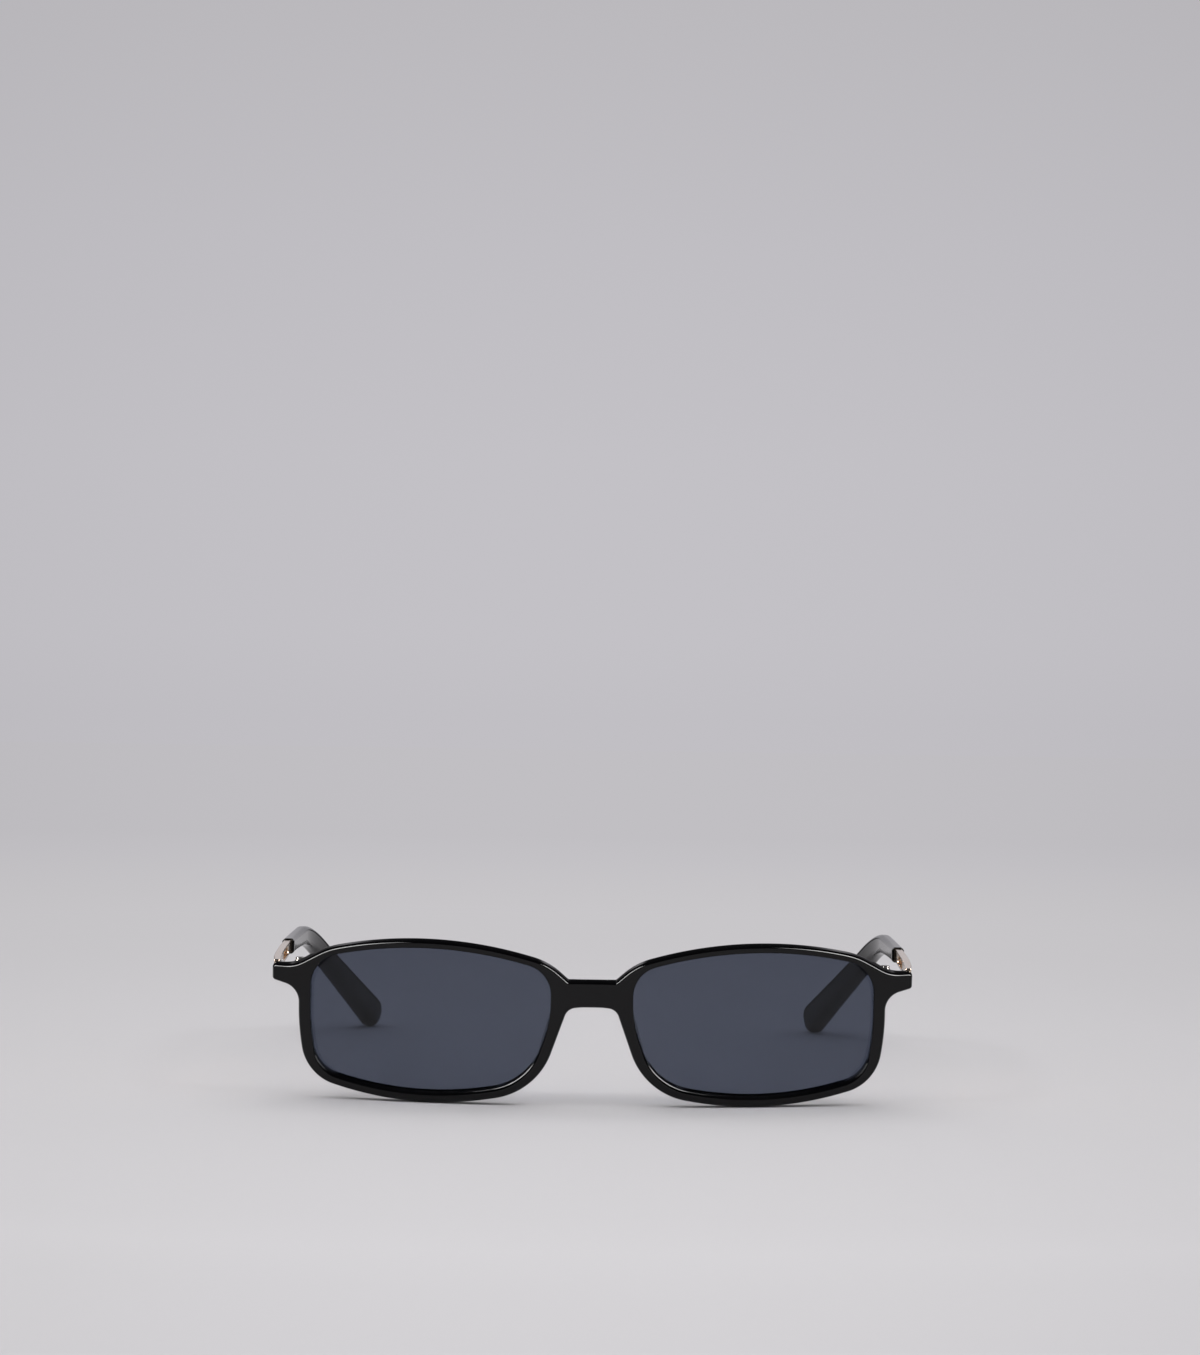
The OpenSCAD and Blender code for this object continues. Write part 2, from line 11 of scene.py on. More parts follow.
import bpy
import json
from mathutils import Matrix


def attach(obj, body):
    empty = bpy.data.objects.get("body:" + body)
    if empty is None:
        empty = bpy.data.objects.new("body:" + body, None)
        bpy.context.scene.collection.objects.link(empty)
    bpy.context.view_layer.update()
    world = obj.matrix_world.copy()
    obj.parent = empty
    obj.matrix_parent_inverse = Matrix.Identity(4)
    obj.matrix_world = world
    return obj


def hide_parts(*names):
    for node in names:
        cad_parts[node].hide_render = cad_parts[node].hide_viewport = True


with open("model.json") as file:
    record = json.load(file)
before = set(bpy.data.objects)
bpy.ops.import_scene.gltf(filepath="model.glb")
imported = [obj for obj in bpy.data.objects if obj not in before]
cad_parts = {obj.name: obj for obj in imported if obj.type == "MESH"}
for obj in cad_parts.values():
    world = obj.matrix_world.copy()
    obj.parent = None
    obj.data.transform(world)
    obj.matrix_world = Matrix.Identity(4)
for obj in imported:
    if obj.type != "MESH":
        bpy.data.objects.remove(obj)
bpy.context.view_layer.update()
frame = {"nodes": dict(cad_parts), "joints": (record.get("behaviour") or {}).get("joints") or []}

# %% [markdown]
# ## Units and halves
# Glasses are drawn in millimetres and Blender works in metres here, so every length below is in
# millimetres until a mesh is made from it. The two halves mirror each other. A Mirror modifier could do
# that, but the temples move on bodies of their own, so each piece of the left half is made once more with
# a side of -1. Left and right are the wearer's.

# %% Name the tools and the two sides
import json
import math

import bpy
import numpy as np
from mathutils import Matrix, Vector
from mathutils.geometry import delaunay_2d_cdt

MM = 0.001
SIDES = {"left": 1, "right": -1}
print("sides:", SIDES)

# %% [markdown]
# ## Sizes of the front
# The lens opening is the form that everything on the front follows. A designer draws it as a few corners
# with large radii, and it is written here in the same way: eight corners with their radii, as shares of
# half its width and half its height. A curve traced point by point could show the same shape, but nobody
# could change its width or one of its corners afterwards.

# %% Size the front and its openings
front_w, end_reach, rim_side, bridge_w, lens_h = 142, 6, 2.8, 18, 32.1

end_x = front_w / 2
side_x = end_x - end_reach - rim_side
lens_w = side_x - bridge_w / 2
lens_x = side_x - lens_w / 2
opening_shape = [
    (-1, 0.73, 0.417), (-0.05, 1.155, 5.17), (1, 0.76, 0.498), (1, -0.2, 3.12),
    (0.942, -0.78, 0.449), (0.125, -1.11, 4.86), (-0.815, -0.82, 0.841), (-1, 0.055, 1.495),
]
opening = [(lens_x + x * lens_w / 2, z * lens_h / 2, r * lens_h / 2) for x, z, r in opening_shape]
print(f"lens opening {lens_w:.1f} by {lens_h} mm, its middle {lens_x:.1f} mm off the nose")

# %% [markdown]
# ## Outlines
# A drawing gives corners and radii, and a mesh needs points. A Bevel modifier could round the corners of
# a flat mesh, but it takes a width and not a radius. Here each corner becomes an arc of its own radius,
# in steps that leave the true arc by no more than chord. A radius shrinks where the two sides of its
# corner are too short for it.


# %% Round the corners of an outline
def rounded(corners, chord=0.002, gap=0.7, arc_share=0.99):
    """Points along the outline, no further apart than gap. Arcs take at most arc_share of a side."""
    count = len(corners)
    spot = [Vector(c[:2]) for c in corners]
    half = [(spot[i - 1] - spot[i]).angle(spot[(i + 1) % count] - spot[i]) / 2 for i in range(count)]
    taken = [corners[i][2] / math.tan(half[i]) for i in range(count)]
    share = [
        (spot[(i + 1) % count] - spot[i]).length / (taken[i] + taken[(i + 1) % count])
        for i in range(count)
    ]
    points = []
    for i in range(count):
        radius = corners[i][2] * min(1, arc_share * share[i - 1], arc_share * share[i])
        u = (spot[i - 1] - spot[i]).normalized()
        v = (spot[(i + 1) % count] - spot[i]).normalized()
        middle = spot[i] + (u + v).normalized() * radius / math.sin(half[i])
        start = spot[i] + u * radius / math.tan(half[i]) - middle
        turn = math.pi - 2 * half[i]
        steps = max(2, math.ceil(turn / (2 * math.acos(1 - chord / radius))))
        way = math.copysign(1, u.x * v.y - u.y * v.x)
        points += [middle + Matrix.Rotation(-way * turn * k / steps, 2) @ start for k in range(steps + 1)]
    spaced = []
    for here, there in zip(points, points[1:] + points[:1]):
        pieces = max(1, math.ceil((there - here).length / gap))
        spaced += [here.lerp(there, k / pieces) for k in range(pieces)]
    return spaced


left_opening = rounded(opening)
openings = [left_opening, [Vector((-p.x, p.y)) for p in left_opening]]
print(len(left_opening), "points round each lens opening")

# %% [markdown]
# ## The rim
# The rim runs round the opening as a band: thin on top, thicker below and at the sides. Scaling the
# opening up would change the width of that band at every corner. So each side is moved outward by its own
# width instead, which keeps it parallel, and the radius of each corner grows along.


# %% Move the sides of an outline outward
def grown(corners, moves):
    """Corners after the side behind corner i has moved outward by moves[i]."""
    count = len(corners)

    def normal(a, b):
        return Vector((a[1] - b[1], b[0] - a[0])).normalized()

    moved = []
    for i, (x, z, radius) in enumerate(corners):
        n0 = normal(corners[i - 1], corners[i])
        n1 = normal(corners[i], corners[(i + 1) % count])
        d0, d1 = moves[i - 1], moves[i]
        k = n0.x * n1.y - n0.y * n1.x
        moved.append((
            x + (d0 * n1.y - d1 * n0.y) / k,
            z + (d1 * n0.x - d0 * n1.x) / k,
            radius + (d0 + d1) / 2,
        ))
    return moved


rim_top, rim_bottom, rim_nose = 1.6, 2.3, 2.65
rim = grown(opening, [rim_top, rim_top, rim_side, rim_side, rim_bottom, rim_bottom, rim_nose, rim_nose])
print("rim spans", [round(max(c[k] for c in rim) - min(c[k] for c in rim), 1) for k in (0, 1)], "mm")

# %% [markdown]
# ## The outline of the front
# The real front is one moulding: two rims, a bridge between them, and at each side an end piece that
# carries a hinge. These could be separate shapes joined by a boolean, which leaves sharp inner corners to
# repair. One outline round all of them is simpler. It takes its corners from the rim, and where the
# bridge or an end piece branches off, it leaves the side of the rim at the right place. A radius of its
# own smooths each of these valleys, and the underside of the bridge is a slight arch.

# %% Size the bridge and the end pieces
bridge_h, bridge_up, bridge_flat, bridge_foot, bridge_arch, arch_flat = 5.8, 9.7, 5.2, 0.6, 0.3, 2.2
end_h, end_drop, end_up = 3.5, 1.5, 10.3
shoulder_in, shoulder_out = 3.9, 3.8
crease_r, saddle_r, bridge_foot_r, arch_r = 0.5, 15, 2.6, 12
shoulder_r, end_fair_r, end_r, under_end_r = 18, 8, 0.8, 4

under_end, under_bridge = end_up - end_h, bridge_up - bridge_h
end_foot, bridge_end = under_end - end_drop, under_bridge - bridge_arch
nose_x = side_x - lens_w + bridge_foot
shoulder_x = side_x - shoulder_in
print(f"the bridge is {bridge_h} mm tall, the end pieces {end_h} mm")


# %% Draw the outline of the front
def height_on(a, b, x):
    """Height at which the line from a to b passes x."""
    return a[1] + (b[1] - a[1]) * (x - a[0]) / (b[0] - a[0])


def place_on(a, b, z):
    """How far out the line from a to b passes height z."""
    return a[0] + (b[0] - a[0]) * (z - a[1]) / (b[1] - a[1])


half_front = [
    (bridge_flat, bridge_up, crease_r),
    (nose_x, height_on(rim[0], rim[1], nose_x), saddle_r),
    rim[1],
    (shoulder_x, height_on(rim[1], rim[2], shoulder_x), shoulder_r),
    (side_x + shoulder_out, end_up, end_fair_r),
    (end_x, end_up, end_r),
    (end_x, under_end, end_r),
    (place_on(rim[2], rim[3], end_foot), end_foot, under_end_r),
    rim[3], rim[4], rim[5], rim[6],
    (place_on(rim[6], rim[7], bridge_end), bridge_end, bridge_foot_r),
    (arch_flat, under_bridge, arch_r),
]
front_outline = rounded(half_front + [(-x, z, r) for x, z, r in reversed(half_front)])
print(len(front_outline), "points round the front")

# %% [markdown]
# ## Plates with rolled edges
# The front, the lenses and the bars are all one kind of form: a flat outline, perhaps with holes, that is
# bent and has rounded edges. A solid cut by booleans with a Bevel modifier on it leaves creases that a
# gloss finish shows at once. So a plate is built straight from its outline: rings of points roll from the
# face over the edge to the other face, and triangles with points inside fill the faces, so that they can
# bend. Every point gets the normal of the true surface, which the renderer then shades, whatever the
# triangles are.


# %% Turn points into an object
def make(name, points, faces, side=1, normals=None):
    """A smooth mesh from points in millimetres. A side of -1 mirrors it to the other half of the glasses."""
    mesh = bpy.data.meshes.new(name)
    mesh.from_pydata(
        [(side * p[0] * MM, p[1] * MM, p[2] * MM) for p in points],
        [],
        [tuple(f) if side > 0 else tuple(reversed(f)) for f in faces],
    )
    mesh.shade_smooth()
    if normals:
        mesh.normals_split_custom_set_from_vertices([(side * n[0], n[1], n[2]) for n in normals])
    made = bpy.data.objects.new(name, mesh)
    bpy.context.scene.collection.objects.link(made)
    print(f"{name}: {len(points)} points, {len(faces)} faces")
    return made


# %% [markdown]
# ## Inside and outside
# A plate is filled where it is solid and left open in its holes. A point is inside when a line from it to
# one side crosses the loops an odd number of times, and that one rule serves outlines and holes together.
# The direction of a loop matters too: the outline runs anticlockwise and a hole clockwise, so that the
# plate always lies on the left and the way out of it is always on the right.


# %% Know the inside of an outline from the outside
TINY = 1e-12


def inside(points, loops):
    """For each point, whether an odd number of loops surrounds it."""
    hit = np.zeros(len(points), bool)
    px, pz = points[:, 0:1], points[:, 1:2]
    for loop in loops:
        a = loop
        b = np.roll(loop, -1, axis=0)
        crosses = (a[:, 1] > pz) != (b[:, 1] > pz)
        rise = np.where(b[:, 1] == a[:, 1], TINY, b[:, 1] - a[:, 1])
        where = a[:, 0] + (pz - a[:, 1]) * (b[:, 0] - a[:, 0]) / rise
        hit ^= (crosses & (px < where)).sum(axis=1) % 2 == 1
    return hit


def facing(points, outer):
    """The loop as an array that runs anticlockwise if outer, and clockwise round a hole."""
    loop = np.array([tuple(p) for p in points])
    turned = np.roll(loop, -1, axis=0)
    area = (loop[:, 0] * turned[:, 1] - turned[:, 0] * loop[:, 1]).sum()
    return loop if (area > 0) == outer else loop[::-1]


front_loops = [facing(front_outline, True)] + [facing(loop, False) for loop in openings]
tried = np.array([(0, bridge_up - bridge_h / 2), (lens_x, 0), (end_x + 1, end_up)])
print("bridge, lens and beyond the end piece lie inside the front:", inside(tried, front_loops))

# %% [markdown]
# ## Normals of a bent plate
# The place of a point on a plate is given by a function of two coordinates, which holds all of its
# bending. Nobody has to work out its normal by hand: two short steps along the surface span it, and their
# cross product is the normal. The wall at the edge is spanned by a step along the outline and the line
# from the front face to the back.

# %% Find the normals of a bent plate
FACE_STEP, WALL_STEP = 0.05, 0.01


class Sheet:
    """A plate while it is built. place(u, v, back, depth) is the point that lies depth below one face."""

    def __init__(self, place):
        self.place = place
        self.points, self.normals, self.faces = [], [], []
        self.insets = [[], []]

    def steps(self, u, v, back, step):
        """Two short steps along the surface, to the side and up."""
        across = self.place(u + step, v, back, 0) - self.place(u - step, v, back, 0)
        up = self.place(u, v + step, back, 0) - self.place(u, v - step, back, 0)
        return across, up

    def face_normal(self, u, v, back):
        across, up = self.steps(u, v, back, FACE_STEP)
        normal = across.cross(up).normalized()
        return -normal if back else normal

    def wall_normal(self, u, v, nu, nv):
        """The normal of the wall, where (nu, nv) points out of the outline."""
        across, up = self.steps(u, v, 0, WALL_STEP)
        through = self.place(u, v, 1, 0) - self.place(u, v, 0, 0)
        wall = (up * nu - across * nv).cross(through).normalized()
        return wall if wall.dot(across * nu + up * nv) > 0 else -wall


upright = Sheet(lambda u, v, back, depth: Vector((u, back + depth * (1 - 2 * back), v)))
print("an upright plate faces", tuple(upright.face_normal(0, 0, 0)), "in front")

# %% [markdown]
# ## Rolled edges
# The edge of a tumbled front is seldom a quarter circle: it reaches further over the face than down the
# wall, or the other way round. So a roll has a width on the face and a depth down the wall, and it may
# change with the face and with how far the wall there looks up. The highlight that a gloss edge shows
# follows from these two numbers. For a bar or a lens an even roll is enough.

# %% Roll an edge from face to face
ROLL = [math.radians(a) for a in range(0, 91, 15)]
SHARPEST = 0.5


def even(size):
    """A roll that is as wide as deep, the same on both faces and all round."""
    return lambda back, up: (size, size)


def outward_of(loop):
    """For each point the way out of the plate, and the same made longer at corners to keep rings parallel."""
    ahead = np.roll(loop, -1, axis=0) - loop
    ahead /= np.linalg.norm(ahead, axis=1)[:, None]
    tangent = ahead + np.roll(ahead, 1, axis=0)
    tangent /= np.linalg.norm(tangent, axis=1)[:, None]
    outward = np.stack([tangent[:, 1], -tangent[:, 0]], axis=1)
    return outward, outward / np.clip((tangent * ahead).sum(axis=1), SHARPEST, 1)[:, None]


def roll_edge(sheet, loop, roll):
    """Rings from the front face over the edge to the back face."""
    outward, miter = outward_of(loop)
    rings = [(0, a) for a in ROLL] + [(1, a) for a in reversed(ROLL)]
    first, count = len(sheet.points), len(loop)
    for back, a in rings:
        widths, depths = np.array([roll(back, up) for up in outward[:, 1]]).T
        inset = loop - miter * (widths * (1 - math.sin(a)))[:, None]
        if a == 0:
            sheet.insets[back].append((inset, len(sheet.points)))
        for (u, v), (nu, nv), width, depth in zip(inset, outward, widths, depths):
            sheet.points.append(sheet.place(u, v, back, depth * (1 - math.cos(a))))
            face = sheet.face_normal(u, v, back) * (width * math.cos(a))
            wall = sheet.wall_normal(u, v, nu, nv) * (depth * math.sin(a))
            sheet.normals.append((face + wall).normalized())
    for k in range(len(rings) - 1):
        low, high = first + k * count, first + (k + 1) * count
        for i in range(count):
            j = (i + 1) % count
            sheet.faces.append((low + i, high + i, high + j, low + j))


print("rolls turn at", [round(math.degrees(a)) for a in ROLL], "degrees")

# %% [markdown]
# ## Filled faces
# Between its rolls a face is still open. One large polygon would fill it, but a polygon can't bend. So a
# staggered grid of points is laid inside the loops, a little clear of them, and a Delaunay triangulation
# joins all of it without slivers. It keeps the loops as edges, so the face closes on the rolls exactly.

# %% Fill a face with triangles
KEEP_CLEAR, SAME = 0.45, 1e-9


def grid_inside(loops, grid):
    """A staggered grid of points inside the loops."""
    border = np.concatenate(loops)
    low, high = border.min(axis=0), border.max(axis=0)
    us = np.arange(low[0] + grid / 2, high[0], grid)
    vs = np.arange(low[1] + grid / 2, high[1], grid)
    inner = np.array([(u + (grid / 2 if k % 2 else 0), v) for k, v in enumerate(vs) for u in us])
    inner = inner[inside(inner, loops)]
    near = np.array([((border - p) ** 2).sum(axis=1).min() for p in inner]).reshape(-1)
    return inner[near > (KEEP_CLEAR * grid) ** 2]


def fill_face(sheet, back, grid):
    """Triangles between the inset loops of one face."""
    loops = [loop for loop, _ in sheet.insets[back]]
    index = [first + i for loop, first in sheet.insets[back] for i in range(len(loop))]
    inner = grid_inside(loops, grid)
    for u, v in inner:
        index.append(len(sheet.points))
        sheet.points.append(sheet.place(u, v, back, 0))
        sheet.normals.append(sheet.face_normal(u, v, back))
    flat = np.concatenate([*loops, inner])
    edges, start = [], 0
    for loop in loops:
        edges += [(start + i, start + (i + 1) % len(loop)) for i in range(len(loop))]
        start += len(loop)
    _, _, triangles, origin, _, _ = delaunay_2d_cdt([Vector(p) for p in flat], edges, [], 0, SAME)
    triangles = np.array([[origin[i][0] for i in t] for t in triangles])
    kept = inside(flat[triangles].mean(axis=1), loops)
    for a, b, c in triangles[kept]:
        ab, ac = flat[b] - flat[a], flat[c] - flat[a]
        clockwise = ab[0] * ac[1] - ab[1] * ac[0] < 0
        if clockwise == (back == 0):
            b, c = c, b
        sheet.faces.append((index[a], index[b], index[c]))


# %% [markdown]
# ## A whole plate
# Now a plate is a roll for every loop and a fill for each of its two faces. The outline and the holes
# differ only in the direction of their loops, so one function rolls them all.


# %% Build a plate
def plate(name, outline, holes, place, rolls, grid, side=1):
    """A bent plate with a roll for its outline and one for each hole."""
    sheet = Sheet(place)
    for loop, roll in zip([facing(outline, True)] + [facing(h, False) for h in holes], rolls):
        roll_edge(sheet, loop, roll)
    for back in (0, 1):
        fill_face(sheet, back, grid)
    return make(name, sheet.points, sheet.faces, side, sheet.normals)


# %% [markdown]
# ## Skins
# The sleeves and the nose pads change their section along their length, so they are no plates. A curve
# with a bevel object could sweep a section along a line, but it can only scale it, and a sleeve also
# changes its shape, from a flat mouth to a round paddle. So they are skins through rings of points, where
# each ring is a section of its own.


# %% Stretch a skin through rings
def skin(name, rings, side=1):
    """A closed skin through rings of equally many points, with a flat cap on each end."""
    count = len(rings[0])
    faces = [tuple(range(count))]
    for k in range(len(rings) - 1):
        low, high = k * count, (k + 1) * count
        faces += [(low + i, high + i, high + (i + 1) % count, low + (i + 1) % count) for i in range(count)]
    last = (len(rings) - 1) * count
    faces.append(tuple(last + i for i in reversed(range(count))))
    return make(name, [p for ring in rings for p in ring], faces, side)


# %% [markdown]
# ## Sections and round ends
# Each ring is a rounded rectangle, which can be anything from a sharp bar to a circle. Towards a round
# end the rings come closer together, as a sine does, because even steps would leave facets on the tip.
# How much of the section is left at each of them follows the formula of a circle, with a power that can
# make the end blunter.

# %% Shape a section and a rounded end
THINNEST, LAST_RING, END_STEP = 0.005, 0.0001, 6


def section(w, h, r, step=10):
    """A rounded rectangle, anticlockwise from its right side, its corners in steps of so many degrees."""
    r = min(r, w / 2 - THINNEST, h / 2 - THINNEST)
    points = []
    for k, (sx, sy) in enumerate([(1, 1), (-1, 1), (-1, -1), (1, -1)]):
        for a in range(0, 91, step):
            t = math.radians(90 * k + a)
            points.append((sx * (w / 2 - r) + r * math.cos(t), sy * (h / 2 - r) + r * math.sin(t)))
    return points


def stations(start, end, radius, gap):
    """Distances from start to end, closer together over the rounded last part."""
    straight = end - radius
    count = math.ceil((straight - start) / gap)
    return (
        [start + (straight - start) * k / count for k in range(count + 1)]
        + [straight + radius * math.sin(math.radians(a)) for a in range(END_STEP, 90, END_STEP)]
        + [end - radius * LAST_RING]
    )


def rounding(s, end, radius, power=2.0):
    """Share of the full size that is left at s. A power above 2 makes the end blunter than a half circle."""
    over = max(0, s - (end - radius)) / radius
    return max(0, 1 - over**power) ** (1 / power)


print("a round end of 4 mm keeps", [round(rounding(s, 4, 4), 2) for s in range(5)], "of its size, mm by mm")

# %% [markdown]
# ## Where things lie
# A worn front is curved about an upright line and leans forward by some seven degrees, while the temples
# run level from it. It could be modelled flat and bent with modifiers, but a formula for each coordinate
# shows what it does. The front is drawn upright and then leaned, and all is moved so that the hinge lies
# where the record says and the rims stand on the floor.

# %% Lean the front and stand it on the floor
face_curve, lean, end_t = 230, math.radians(7), 3.5
hinge_down, hinge_stand = 2, 2
joints = {joint["name"]: joint for joint in frame["joints"]}
hinge_at = Vector(joints["hinge_left"]["pos_m"]) / MM


def sag(radius, x):
    """How far a curve of that radius falls back at x."""
    return radius - math.sqrt(radius * radius - x * x)


def leaned(y, z):
    """Distance back and height after the front has leaned."""
    return y * math.cos(lean) - z * math.sin(lean), y * math.sin(lean) + z * math.cos(lean)


end_back = sag(face_curve, end_x) + end_t
hinge_back, _ = leaned(end_back + hinge_stand, end_up - hinge_down)
front_low = min(leaned(sag(face_curve, x), z)[1] for x, z in front_outline)
shift = Vector((0, hinge_at.y - hinge_back, -front_low))
to_row = Matrix.Translation(shift) @ Matrix.Rotation(lean, 4, "X")
print(f"the middle of the lenses stands {-front_low:.2f} mm above the floor")

# %% [markdown]
# ## The front
# Its face is nearly flat. The outer wall rounds off over more than a millimetre of its depth, towards the
# face and towards the back, so the shoulders show black with a thin line of light along them. The lens
# openings have broad soft edges, broadest below, which frame the lenses in black. The face of the bridge
# is hollowed a little between two upright creases. Behind the end pieces the moulding thickens to a flat
# land that holds the hinge, and a smooth step leads up to it. The hollow and the land are terms in the
# formula of the surface, so no edge has to be blended by hand.

# %% Bend the front
FRONT_ROLL, BACK_ROLL = (0.5, 1.3), (0.3, 1.1)
OPENING_ROLL, OPENING_BACK_ROLL, ROLL_GAIN = (0.62, 0.5), (0.3, 0.3), 0.3
hollow, hollow_x = 0.22, bridge_flat + 0.3
front_t, hinge_inset, front_leaf_w = 4, 5.6, 5
land_margin, land_early, land_gap = 1, 0.4, 0.03
land_x = end_x - hinge_inset - front_leaf_w / 2 - land_margin - land_early
land_run, land_foot, land_rise = 1.4, 1.4, 1.6


def outer_roll(back, up):
    return BACK_ROLL if back else FRONT_ROLL


def opening_roll(back, up):
    """Wider where the wall of the opening looks up, which is along its lower side."""
    width, depth = OPENING_ROLL
    return OPENING_BACK_ROLL if back else (width + ROLL_GAIN * up, depth)


def smooth(t):
    """A soft step from 0 to 1."""
    t = max(0, min(1, t))
    return t * t * (3 - 2 * t)


def front_point(x, z, back, depth):
    """The place of a point of the front, which bends about an upright line."""
    if back:
        rim_back = face_curve - math.sqrt((face_curve - front_t) ** 2 - x * x)
        raised = smooth((abs(x) - land_x) / land_run) * smooth((z - land_foot) / land_rise)
        y = rim_back + (end_back - land_gap - rim_back) * raised - depth
    else:
        y = sag(face_curve, x) + hollow * max(0, 1 - (x / hollow_x) ** 2) + depth
    return to_row @ Vector((x, y, z))


# %% Build the front
front_rolls = [outer_roll, opening_roll, opening_roll]
front = plate("front_moulding", front_outline, openings, front_point, front_rolls, grid=0.7)
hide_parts("front_frame")
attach(front, "front")

# %% [markdown]
# ## The lenses
# Each lens is cut from a ball-shaped sheet of even thickness, with its crown in the middle of the
# opening. Two spheres and a boolean would give the same, but the plate already knows its outline and its
# edge. The edge runs into the groove of the rim, so only the clear part shows.

# %% Build the lenses
lens_curve, lens_t, lens_inset, lens_tongue, lens_edge = 175, 1.8, 0.7, 0.4, 0.15
lens_turn = math.asin(lens_x / face_curve)
lens_reach = face_curve - lens_inset - lens_curve
lens_middle = Vector((lens_reach * math.sin(lens_turn), face_curve - lens_reach * math.cos(lens_turn), 0))


def lens_point(x, z, back, depth):
    """The two faces are parts of two spheres about one middle."""
    radius = lens_curve - (lens_t - depth if back else depth)
    aside = x - lens_middle.x
    return to_row @ Vector((x, lens_middle.y - math.sqrt(radius * radius - aside * aside - z * z), z))


lens_outline = rounded(grown(opening, [lens_tongue] * len(opening)))
lenses = []
for name, side in SIDES.items():
    lens = plate(f"tinted_lens_{name}", lens_outline, [], lens_point, [even(lens_edge)], grid=1.4, side=side)
    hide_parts(f"lens_{name}")
    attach(lens, "front")
    lenses.append(lens)

# %% [markdown]
# ## The nose pads
# Two small blades of the same plastic are glued behind the rims, where they meet the nose. The rims hide
# them in the photo, so their form is what is usual: they follow the nose side of the rim, flare outward a
# little to the back and end in a full round. A skin of stacked sections can follow the bent rim, where a
# squashed ball couldn't.

# %% Build the nose pads
pad_h, pad_w, pad_t, pad_down, pad_flare, pad_edge, pad_bend, glue = 12, 2.0, 3.8, 3, 0.3, 0.9, 0.7, 0.04


def pad_ring(d):
    """The section of a pad that stands d behind the rim."""
    edge = 2 * pad_edge * (1 - rounding(d, pad_t, pad_edge))
    ring = []
    for across, up in section(pad_w - edge, pad_h - edge, pad_w, step=9):
        z = up - pad_down
        slope = place_on(rim[6], rim[7], z) - rim[7][0]
        middle = rim[7][0] + rim_nose / 2 + (slope + math.hypot(slope, pad_bend)) / 2
        x = middle + across + pad_flare * (d / pad_t) ** 2
        y = face_curve - math.sqrt((face_curve - front_t - glue) ** 2 - x * x) + d
        ring.append(to_row @ Vector((x, y, z)))
    return ring


pad_rings = [pad_ring(d) for d in stations(0, pad_t, pad_edge, gap=0.4)]
pads = []
for name, side in SIDES.items():
    pad = skin(f"nose_blade_{name}", pad_rings, side)
    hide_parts(f"nose_pad_{name}")
    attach(pad, "front")
    pads.append(pad)

# %% [markdown]
# ## The line of a temple
# A temple leaves the hinge splayed outward, straightens, turns in towards the head and bends down behind
# the ear. A Bezier curve could be pulled into that line by eye. Here the two angles are given at each
# distance instead, and adding up short steps gives the line, because then the splay, the bends and their
# radii are the sizes that an optician would name, and the length stays true whatever the bends are.

# %% Size the temples
bar_w, bar_h, bar_out, bar_rise = 1.6, 3.6, 0.4, 0.3
splay, seat_l = math.radians(5), 9
toe_start, toe_radius, toe_angle = 80, 75, math.radians(19.5)
bend_start, bend_radius, bend_angle = 80, 40, math.radians(30.5)
tip_h = 8.3

tip_r = tip_h / 2
bend_l = bend_angle * bend_radius
bend_drop = bend_radius * (1 - math.cos(bend_angle))
_, end_z = leaned(end_back, end_up)
bar_top = end_z + bar_rise
bar_mid = bar_top - bar_h / 2
bar_front, _ = leaned(end_back, end_up - hinge_down)
run_l = (bar_mid - front_low - bend_drop - tip_r) / math.sin(bend_angle)
temple_l = bend_start + bend_l + run_l + tip_r
print(f"temple {temple_l:.1f} mm long, {run_l:.1f} mm of it straight behind the bend")


# %% Trace the line of a temple
STEP = 0.25


def heading(s):
    """Angle outward from straight back, at distance s."""
    if s < seat_l:
        return splay
    if s < toe_start:
        return splay * (toe_start - s) / (toe_start - seat_l)
    return -min(toe_angle, (s - toe_start) / toe_radius)


def descent(s):
    """Angle down from level, at distance s."""
    return min(bend_angle, max(0, s - bend_start) / bend_radius)


def axes(s):
    """Along the temple, towards the head, and up, at distance s."""
    h, d = heading(s), descent(s)
    return (
        Vector((math.sin(h) * math.cos(d), math.cos(h) * math.cos(d), -math.sin(d))),
        Vector((-math.cos(h), math.sin(h), 0)),
        Vector((math.sin(h) * math.sin(d), math.cos(h) * math.sin(d), math.cos(d))),
    )


line = [Vector((end_x + bar_out - bar_w / 2, bar_front, bar_mid)) + shift]
while len(line) * STEP < temple_l + STEP:
    line.append(line[-1] + axes((len(line) - 0.5) * STEP)[0] * STEP)


def at(s):
    """The point of the temple's middle line at distance s."""
    i = max(0, min(len(line) - 1, int(s / STEP)))
    return line[i] + axes(s)[0] * (s - i * STEP)


print("the tip of a temple lies at", [round(c, 1) for c in at(temple_l)], "mm")

# %% [markdown]
# ## The bars
# Each bar is cut from a flat strip of metal and stands on edge: level on top, a little lower towards the
# sleeve, with a long window cut through it. So it is a plate again, whose outline lies in the side view
# and whose thickness runs across. Its front end is cut to the slant of the end piece, and its outer face
# is ground flush with it.

# %% Draw the bar and its window
bar_l, bar_end_h = 50, 3.1
window_l, window_h, window_back, window_down = 18.5, 2, 9, 0.1
bar_edge, bar_corner_r, bar_taper_r, bar_tongue = 0.16, 0.3, 5, 3
butt_gap, butt_slack = 0.05, 0.12


def butt(z):
    """Distance along the bar at which it meets the leaned back of the end piece."""
    y = (end_back + butt_gap - (z - shift.z) * math.sin(lean)) / math.cos(lean)
    return (y - bar_front) / math.cos(splay) + butt_slack


